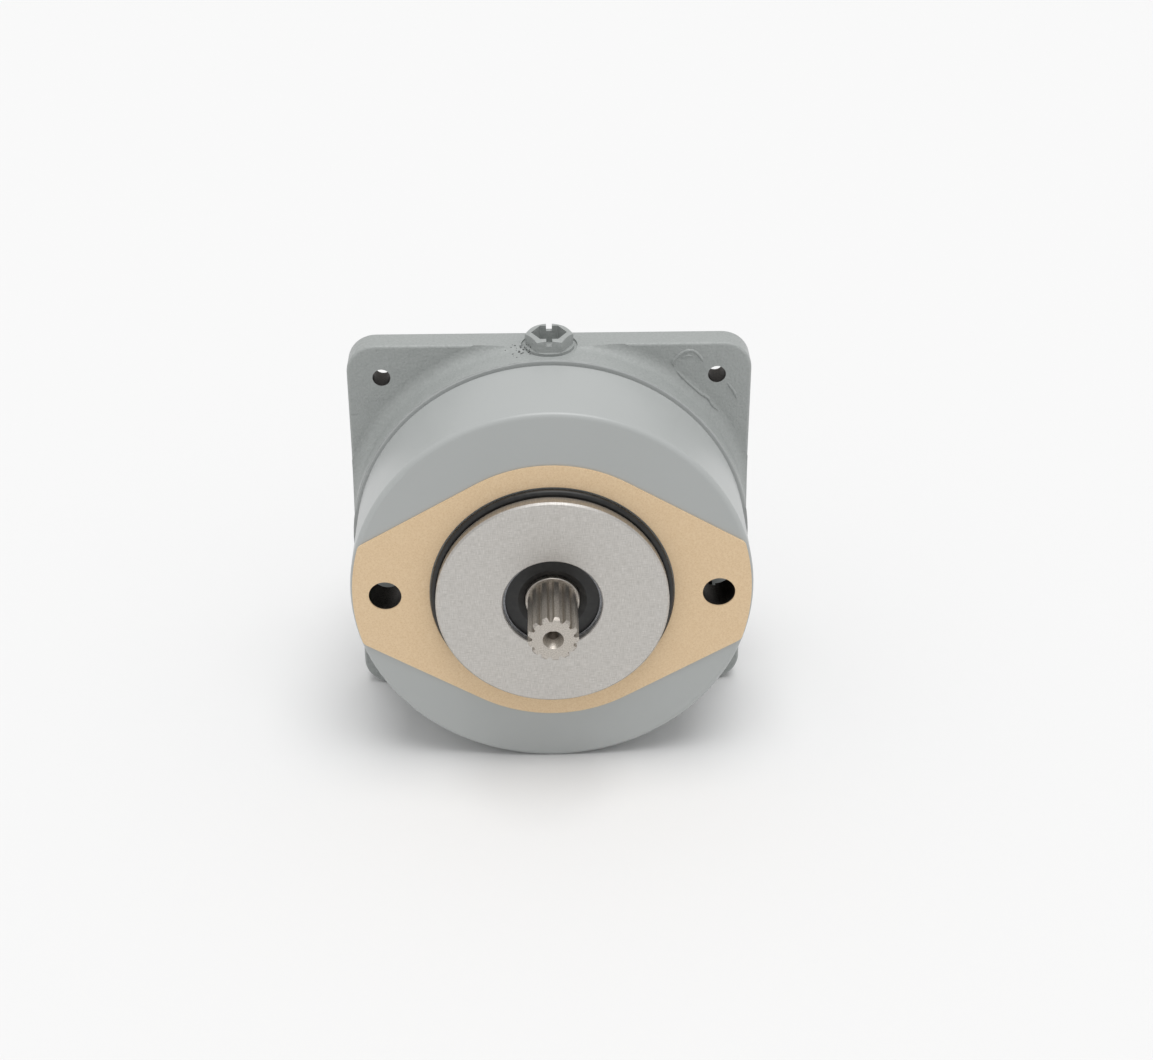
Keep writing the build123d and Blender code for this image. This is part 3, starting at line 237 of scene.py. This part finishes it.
def turnedMetal(name, settings):
    material, shader = newMaterial(name, {"Metallic": 1.0})
    place = addNode(material, "ShaderNodeTexCoord").outputs["Object"]
    hairlines = []
    fine = 1 / (settings["hairline"] * mm)
    long = 1 / (settings["hairlineLength"] * mm)
    # the grain is stretched along each direction of rubbing and fine across it
    for stretch in ((fine, long, long), (long, long, fine)):
        laid = addNode(
            material, "ShaderNodeMapping", {"Scale": stretch}, {"Vector": place}
        ).outputs["Vector"]
        hairlines.append(
            addNode(
                material, "ShaderNodeTexNoise", {"Scale": 1.0, "Detail": 3.0}, {"Vector": laid}
            ).outputs["Fac"]
        )
    crossed = addNode(
        material,
        "ShaderNodeMath",
        {"operation": "MULTIPLY"},
        {0: hairlines[0], 1: hairlines[1]},
    ).outputs[0]
    colour = rampColours(
        material,
        crossed,
        [(0.12, linearColour(settings["dull"])), (0.40, linearColour(settings["bright"]))],
    )
    link(material, colour, shader.inputs["Base Color"])
    rough = addNode(
        material,
        "ShaderNodeMapRange",
        {
            "From Min": 0.1,
            "From Max": 0.4,
            "To Min": settings["roughness"] + settings["worn"],
            "To Max": settings["roughness"],
        },
        {"Value": crossed},
    ).outputs["Result"]
    link(material, rough, shader.inputs["Roughness"])
    bump = addNode(
        material,
        "ShaderNodeBump",
        {"Strength": 1.0, "Distance": settings["relief"] * mm},
        {"Height": crossed},
    )
    link(material, bump.outputs["Normal"], shader.inputs["Normal"])
    return material


# Plain metals: the same grinding or plating grain at different colours and gloss
metalFinishes = {
    "groundSteel": {"light": "BDBBB8", "dark": "9C9A97", "roughness": 0.30, "grain": 0.6},
    "splineSteel": {"light": "CFC9C1", "dark": "A8A29A", "roughness": 0.40, "grain": 0.5},
    "springSteel": {"light": "8B8C8F", "dark": "6A6B6E", "roughness": 0.32, "grain": 0.8},
    "bearingBronze": {"light": "B98F52", "dark": "94703D", "roughness": 0.38, "grain": 0.8},
    "blackOxideSteel": {"light": "2E2E30", "dark": "1C1C1E", "roughness": 0.42, "grain": 0.6},
    "galvanisedSteel": {"light": "A7AAA9", "dark": "858887", "roughness": 0.40, "grain": 1.2},
    # raw iron for the hole walls, darkened as painted shade deep inside the bolt and corner
    # holes
    "drilledIronPaintedShade": {"light": "57534F", "dark": "2F2C2A", "roughness": 0.50, "grain": 0.7},
}


def plainMetal(name, finish):
    material, shader = newMaterial(name, {"Metallic": 1.0})
    place = addNode(material, "ShaderNodeTexCoord").outputs["Object"]
    grain = addNode(
        material,
        "ShaderNodeTexNoise",
        {"Scale": 1 / (finish["grain"] * mm), "Detail": 5.0, "Roughness": 0.6},
        {"Vector": place},
    ).outputs["Fac"]
    colour = rampColours(
        material,
        grain,
        [(0.35, linearColour(finish["dark"])), (0.65, linearColour(finish["light"]))],
    )
    link(material, colour, shader.inputs["Base Color"])
    rough = addNode(
        material,
        "ShaderNodeMapRange",
        {"To Min": finish["roughness"] - 0.06, "To Max": finish["roughness"] + 0.08},
        {"Value": grain},
    ).outputs["Result"]
    link(material, rough, shader.inputs["Roughness"])
    bump = addNode(
        material, "ShaderNodeBump", {"Strength": 0.5, "Distance": 0.006 * mm}, {"Height": grain}
    )
    link(material, bump.outputs["Normal"], shader.inputs["Normal"])
    return material


# Pressed fibre paper: matt tan with short fibres and fine pressing specks
fibre = {
    "pale": "E6CCA8",
    "deep": "D8BA92",
    "roughness": 0.86,
    "fibreWidth": 0.5,
    "speck": 0.9,
    "relief": 0.03,
}


def fibrePaper(name, settings):
    material, shader = newMaterial(name, {"Roughness": settings["roughness"]})
    place = addNode(material, "ShaderNodeTexCoord").outputs["Object"]
    fibres = addNode(
        material,
        "ShaderNodeTexNoise",
        {"Scale": 1 / (settings["fibreWidth"] * mm), "Detail": 6.0, "Distortion": 1.5},
        {"Vector": place},
    ).outputs["Fac"]
    specks = addNode(
        material,
        "ShaderNodeTexVoronoi",
        {"Scale": 1 / (settings["speck"] * mm)},
        {"Vector": place},
    ).outputs["Distance"]
    mixed = addNode(
        material, "ShaderNodeMath", {"operation": "MULTIPLY_ADD", 1: 0.3}, {0: specks, 2: fibres}
    ).outputs[0]
    colour = rampColours(
        material,
        mixed,
        [(0.40, linearColour(settings["deep"])), (0.80, linearColour(settings["pale"]))],
    )
    link(material, colour, shader.inputs["Base Color"])
    bump = addNode(
        material,
        "ShaderNodeBump",
        {"Strength": 1.0, "Distance": settings["relief"] * mm},
        {"Height": mixed},
    )
    link(material, bump.outputs["Normal"], shader.inputs["Normal"])
    return material


# Moulded nitrile rubber, oiled: near black with a soft sheen and faint mould bloom
nitrile = {"black": "161616", "bloom": "242423", "roughness": 0.38, "bloomSize": 3.0}


def nitrileRubber(name, settings):
    material, shader = newMaterial(name, {"Specular IOR Level": 0.5})
    place = addNode(material, "ShaderNodeTexCoord").outputs["Object"]
    bloom = addNode(
        material,
        "ShaderNodeTexNoise",
        {"Scale": 1 / (settings["bloomSize"] * mm), "Detail": 4.0},
        {"Vector": place},
    ).outputs["Fac"]
    colour = rampColours(
        material,
        bloom,
        [(0.40, linearColour(settings["black"])), (0.70, linearColour(settings["bloom"]))],
    )
    link(material, colour, shader.inputs["Base Color"])
    rough = addNode(
        material,
        "ShaderNodeMapRange",
        {"To Min": settings["roughness"] - 0.05, "To Max": settings["roughness"] + 0.15},
        {"Value": bloom},
    ).outputs["Result"]
    link(material, rough, shader.inputs["Roughness"])
    return material


castEnamel = enamelPaint("castEnamel", enamel)
rawCastEnamel = enamelPaint("rawCastEnamel", {**enamel, "castFromY": -500.0})
turnedIron = turnedMetal("turnedIron", turned)
gasketPaper = fibrePaper("gasketPaper", fibre)
rubber = nitrileRubber("nitrileRubber", nitrile)
metals = {name: plainMetal(name, finish) for name, finish in metalFinishes.items()}
print("materials made")

# What each CAD node is made of. Nodes that aren't named here are ground steel
nodeMaterials = {
    "housing": castEnamel,
    "port_block": rawCastEnamel,
    "compensator_body": rawCastEnamel,
    "case_drain_plug": rawCastEnamel,
    "mounting_gasket": gasketPaper,
    "port_block_gasket": gasketPaper,
    "pilot_o_ring": rubber,
    "shaft_seal": rubber,
    "drive_shaft": metals["splineSteel"],
    "saddle_bearings": metals["bearingBronze"],
    "valve_plate": metals["bearingBronze"],
    "front_bearing_cage": metals["bearingBronze"],
    "seal_retaining_ring": metals["springSteel"],
    "bearing_retaining_ring": metals["springSteel"],
    "barrel_snap_ring": metals["springSteel"],
    "barrel_spring": metals["springSteel"],
    "bias_spring": metals["springSteel"],
    "compensator_spring": metals["springSteel"],
    "port_block_screws": metals["blackOxideSteel"],
    "compensator_screws": metals["blackOxideSteel"],
    "adjuster_screw": metals["blackOxideSteel"],
    "volume_stop_screw": metals["blackOxideSteel"],
    "adjuster_locknut": metals["galvanisedSteel"],
    "stop_screw_locknut": metals["galvanisedSteel"],
    "compensator_bonnet": metals["galvanisedSteel"],
    "compensator_end_plug": metals["galvanisedSteel"],
}
for name, node in nodes.items():
    node.data.materials.clear()
    node.data.materials.append(nodeMaterials.get(name, metals["groundSteel"]))

# Faces of the casting that are cut after painting: pilot, insides, bolt and corner holes; the
# hole walls get dark iron as painted shade
machined = {
    "pilotRadius": 51.2,
    "pilotBack": -0.2,
    "insideRadius": 70.3,
    "insideFront": 1.0,
    "boltPlace": 73.0,
    "pocketRadius": 15.3,
    "pocketEnd": 47.3,
    "boltHoleRadius": 7.3,
    "boltHoleDepth": 18.2,
    "cornerPlace": 74.7,
    "cornerHoleRadius": 4.2,
}


def isTurned(centre, settings):
    radius = math.hypot(centre.x, centre.z)
    pilot = radius < settings["pilotRadius"] and centre.y < settings["pilotBack"]
    inside = radius < settings["insideRadius"] and centre.y > settings["insideFront"]
    reach = math.hypot(abs(centre.x) - settings["boltPlace"], centre.z)
    pocket = reach < settings["pocketRadius"] and centre.y < settings["pocketEnd"]
    return pilot or (inside and not pocket)


def isDrilled(centre, settings):
    across = abs(centre.x)
    bolt = math.hypot(across - settings["boltPlace"], centre.z) < settings["boltHoleRadius"]
    corner = math.hypot(
        across - settings["cornerPlace"], abs(centre.z) - settings["cornerPlace"]
    )
    shallow = 0.3 < centre.y < settings["boltHoleDepth"]
    return (bolt and shallow) or corner < settings["cornerHoleRadius"]


def markCutFaces(node, settings):
    node.data.materials.append(turnedIron)
    node.data.materials.append(metals["drilledIronPaintedShade"])
    for face in node.data.polygons:
        centre = face.center / mm
        if isDrilled(centre, settings):
            # hole walls: dark iron standing in for the shade deep inside the holes (painted
            # shade)
            face.material_index = 2
        elif isTurned(centre, settings):
            face.material_index = 1


markCutFaces(nodes["housing"], machined)
print("materials assigned")

# Worn raised outline that the casting pattern left round the plate's upper right hole
castMark = {
    "hole": (74.7, 74.7),
    "faceY": 62.8,
    "blendEdge": 96.0,
    "blendRadius": 6.0,
    "ridge": 0.8,
    "sink": 0.25,
    "sides": 10,
    "steps": 7,
    "seed": 4,
    "strands": [
        [
            (-19.0, 3.4), (-19.6, 6.4), (-17.4, 9.4), (-14.2, 11.6),
            (-10.9, 11.6), (-8.2, 9.4), (-5.8, 5.6),
        ],
        [(-16.4, 8.0), (-13.2, 9.4), (-10.4, 8.6)],
        [
            (-18.6, 2.4), (-14.6, -2.0), (-10.2, -6.4), (-6.2, -10.0),
            (-3.8, -11.6), (-1.6, -15.2), (2.0, -18.8),
        ],
        [(4.6, -4.2), (6.2, -6.2), (8.2, -9.2), (9.6, -13.0)],
    ],
}


def castSurface(x, z, settings):
    # the plate's face, which rises into the concave blend at the collar
    inwards = max(0.0, settings["blendEdge"] - math.hypot(x, z))
    rise = settings["blendRadius"] - math.sqrt(settings["blendRadius"] ** 2 - inwards**2)
    return settings["faceY"] - rise


def smoothPath(points, steps):
    # a smooth line through the points, with so many steps from each to the next
    padded = [points[0], *points, points[-1]]
    path = []
    for a, b, c, d in zip(padded, padded[1:], padded[2:], padded[3:]):
        for step in range(steps):
            t = step / steps
            path.append([
                q + ((r - p) * t + (2 * p - 5 * q + 4 * r - s) * t**2
                     + (3 * q - p - 3 * r + s) * t**3) / 2
                for p, q, r, s in zip(a, b, c, d)
            ])
    return path + [points[-1]]


def makeRidges(settings):
    draw = random.Random(settings["seed"])
    sides = settings["sides"]
    vertices, faces = [], []
    for strand in settings["strands"]:
        path = [
            (x + settings["hole"][0], z + settings["hole"][1])
            for x, z in smoothPath(strand, settings["steps"])
        ]
        last = len(path) - 1
        for index, (x, z) in enumerate(path):
            before, after = path[max(index - 1, 0)], path[min(index + 1, last)]
            along = Vector((after[0] - before[0], after[1] - before[1])).normalized()
            taper = min(1.0, 0.3 + 0.14 * min(index, last - index))
            radius = settings["ridge"] * taper * draw.uniform(0.85, 1.1)
            y = castSurface(x, z, settings) + settings["sink"]
            for side in range(sides):
                turn = 2 * math.pi * side / sides
                across, forward = radius * math.cos(turn), radius * math.sin(turn)
                spot = (x - along.y * across, y + forward, z + along.x * across)
                vertices.append(Vector(spot) * mm)
            if index:
                start = len(vertices) - 2 * sides
                for side in range(sides):
                    a, b = start + side, start + (side + 1) % sides
                    faces.append((a, b, b + sides, a + sides))
        end = len(vertices)
        first = end - sides * (last + 1)
        faces.append(tuple(range(first, first + sides))[::-1])
        faces.append(tuple(range(end - sides, end)))
    mesh = bpy.data.meshes.new("castRidges")
    mesh.from_pydata(vertices, [], faces)
    mesh.polygons.foreach_set("use_smooth", [True] * len(mesh.polygons))
    mesh.materials.append(rawCastEnamel)
    ridges = bpy.data.objects.new("castRidges", mesh)
    bpy.context.scene.collection.objects.link(ridges)
    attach(ridges, "housing")


makeRidges(castMark)
print("cast outline made")

# Studio: pale floor under the flange's rim and the plate's lower edge, one wide soft light above
studio = {
    "floorFront": (0.0, 2.0, -88.3),
    "floorBack": (0.0, 65.0, -90.1),
    "floorSize": 14000.0,
    "floorTone": "E8E8E8",
    "skyTone": "FAFAFA",
    "skyStrength": 0.66,
    "lampStrength": 1.75,
    "lampSpread": 42.0,  # degrees across, so the shadows stay soft
    "lampTilt": (7.0, 4.0),  # degrees towards the front and to the right
}


def makeFloor(settings):
    front = Vector(settings["floorFront"]) * mm
    back = Vector(settings["floorBack"]) * mm
    slope = math.atan2(back.z - front.z, back.y - front.y)
    half = settings["floorSize"] * mm / 2
    mesh = bpy.data.meshes.new("studioFloor")
    corners = [(-half, -half, 0), (half, -half, 0), (half, half, 0), (-half, half, 0)]
    mesh.from_pydata(corners, [], [(0, 1, 2, 3)])
    floor = bpy.data.objects.new("studioFloor", mesh)
    floor.matrix_world = Matrix.Translation(front) @ Matrix.Rotation(slope, 4, "X")
    bpy.context.scene.collection.objects.link(floor)
    paper, shader = newMaterial("studioPaper", {"Roughness": 0.9, "Specular IOR Level": 0.1})
    shader.inputs["Base Color"].default_value = linearColour(settings["floorTone"])
    mesh.materials.append(paper)


def makeLamp(settings):
    lamp = bpy.data.lights.new("softLamp", "SUN")
    lamp.energy = settings["lampStrength"]
    lamp.angle = math.radians(settings["lampSpread"])
    lampObject = bpy.data.objects.new("softLamp", lamp)
    forward, sideways = (math.radians(angle) for angle in settings["lampTilt"])
    lampObject.rotation_euler = (forward, sideways, 0)
    bpy.context.scene.collection.objects.link(lampObject)


def makeSky(settings):
    world = bpy.data.worlds.new("studioSky")
    bpy.context.scene.world = world
    world.use_nodes = True
    background = world.node_tree.nodes["Background"]
    background.inputs["Color"].default_value = linearColour(settings["skyTone"])
    background.inputs["Strength"].default_value = settings["skyStrength"]


makeFloor(studio)
makeLamp(studio)
makeSky(studio)
bpy.context.scene.view_settings.view_transform = "Standard"
print("studio made")

# The camera looks down on the shaft end, almost square to the mounting face
cameraView = {
    "place": (-5.23, -757.14, 479.10),
    "azimuth": -1.20,
    "elevation": 30.56,
    "roll": -0.09,
    "lens": 63.92,
    "sensor": 36.0,
}


def makeCamera(settings):
    azimuth = math.radians(settings["azimuth"])
    elevation = math.radians(settings["elevation"])
    back = Vector((
        math.sin(azimuth) * math.cos(elevation),
        -math.cos(azimuth) * math.cos(elevation),
        math.sin(elevation),
    ))
    right = Vector((math.cos(azimuth), math.sin(azimuth), 0))
    up = back.cross(right)
    axes = Matrix((right, up, back)).transposed().to_4x4()
    camera = bpy.data.cameras.new("camera")
    camera.lens = settings["lens"]
    camera.sensor_width = settings["sensor"]
    camera.sensor_fit = "HORIZONTAL"
    camera.clip_start = 0.05
    camera.clip_end = 50
    cameraObject = bpy.data.objects.new("camera", camera)
    roll = Matrix.Rotation(math.radians(settings["roll"]), 4, "Z")
    place = Matrix.Translation(Vector(settings["place"]) * mm)
    cameraObject.matrix_world = place @ axes @ roll
    bpy.context.scene.collection.objects.link(cameraObject)
    bpy.context.scene.camera = cameraObject


makeCamera(cameraView)
print("camera made")
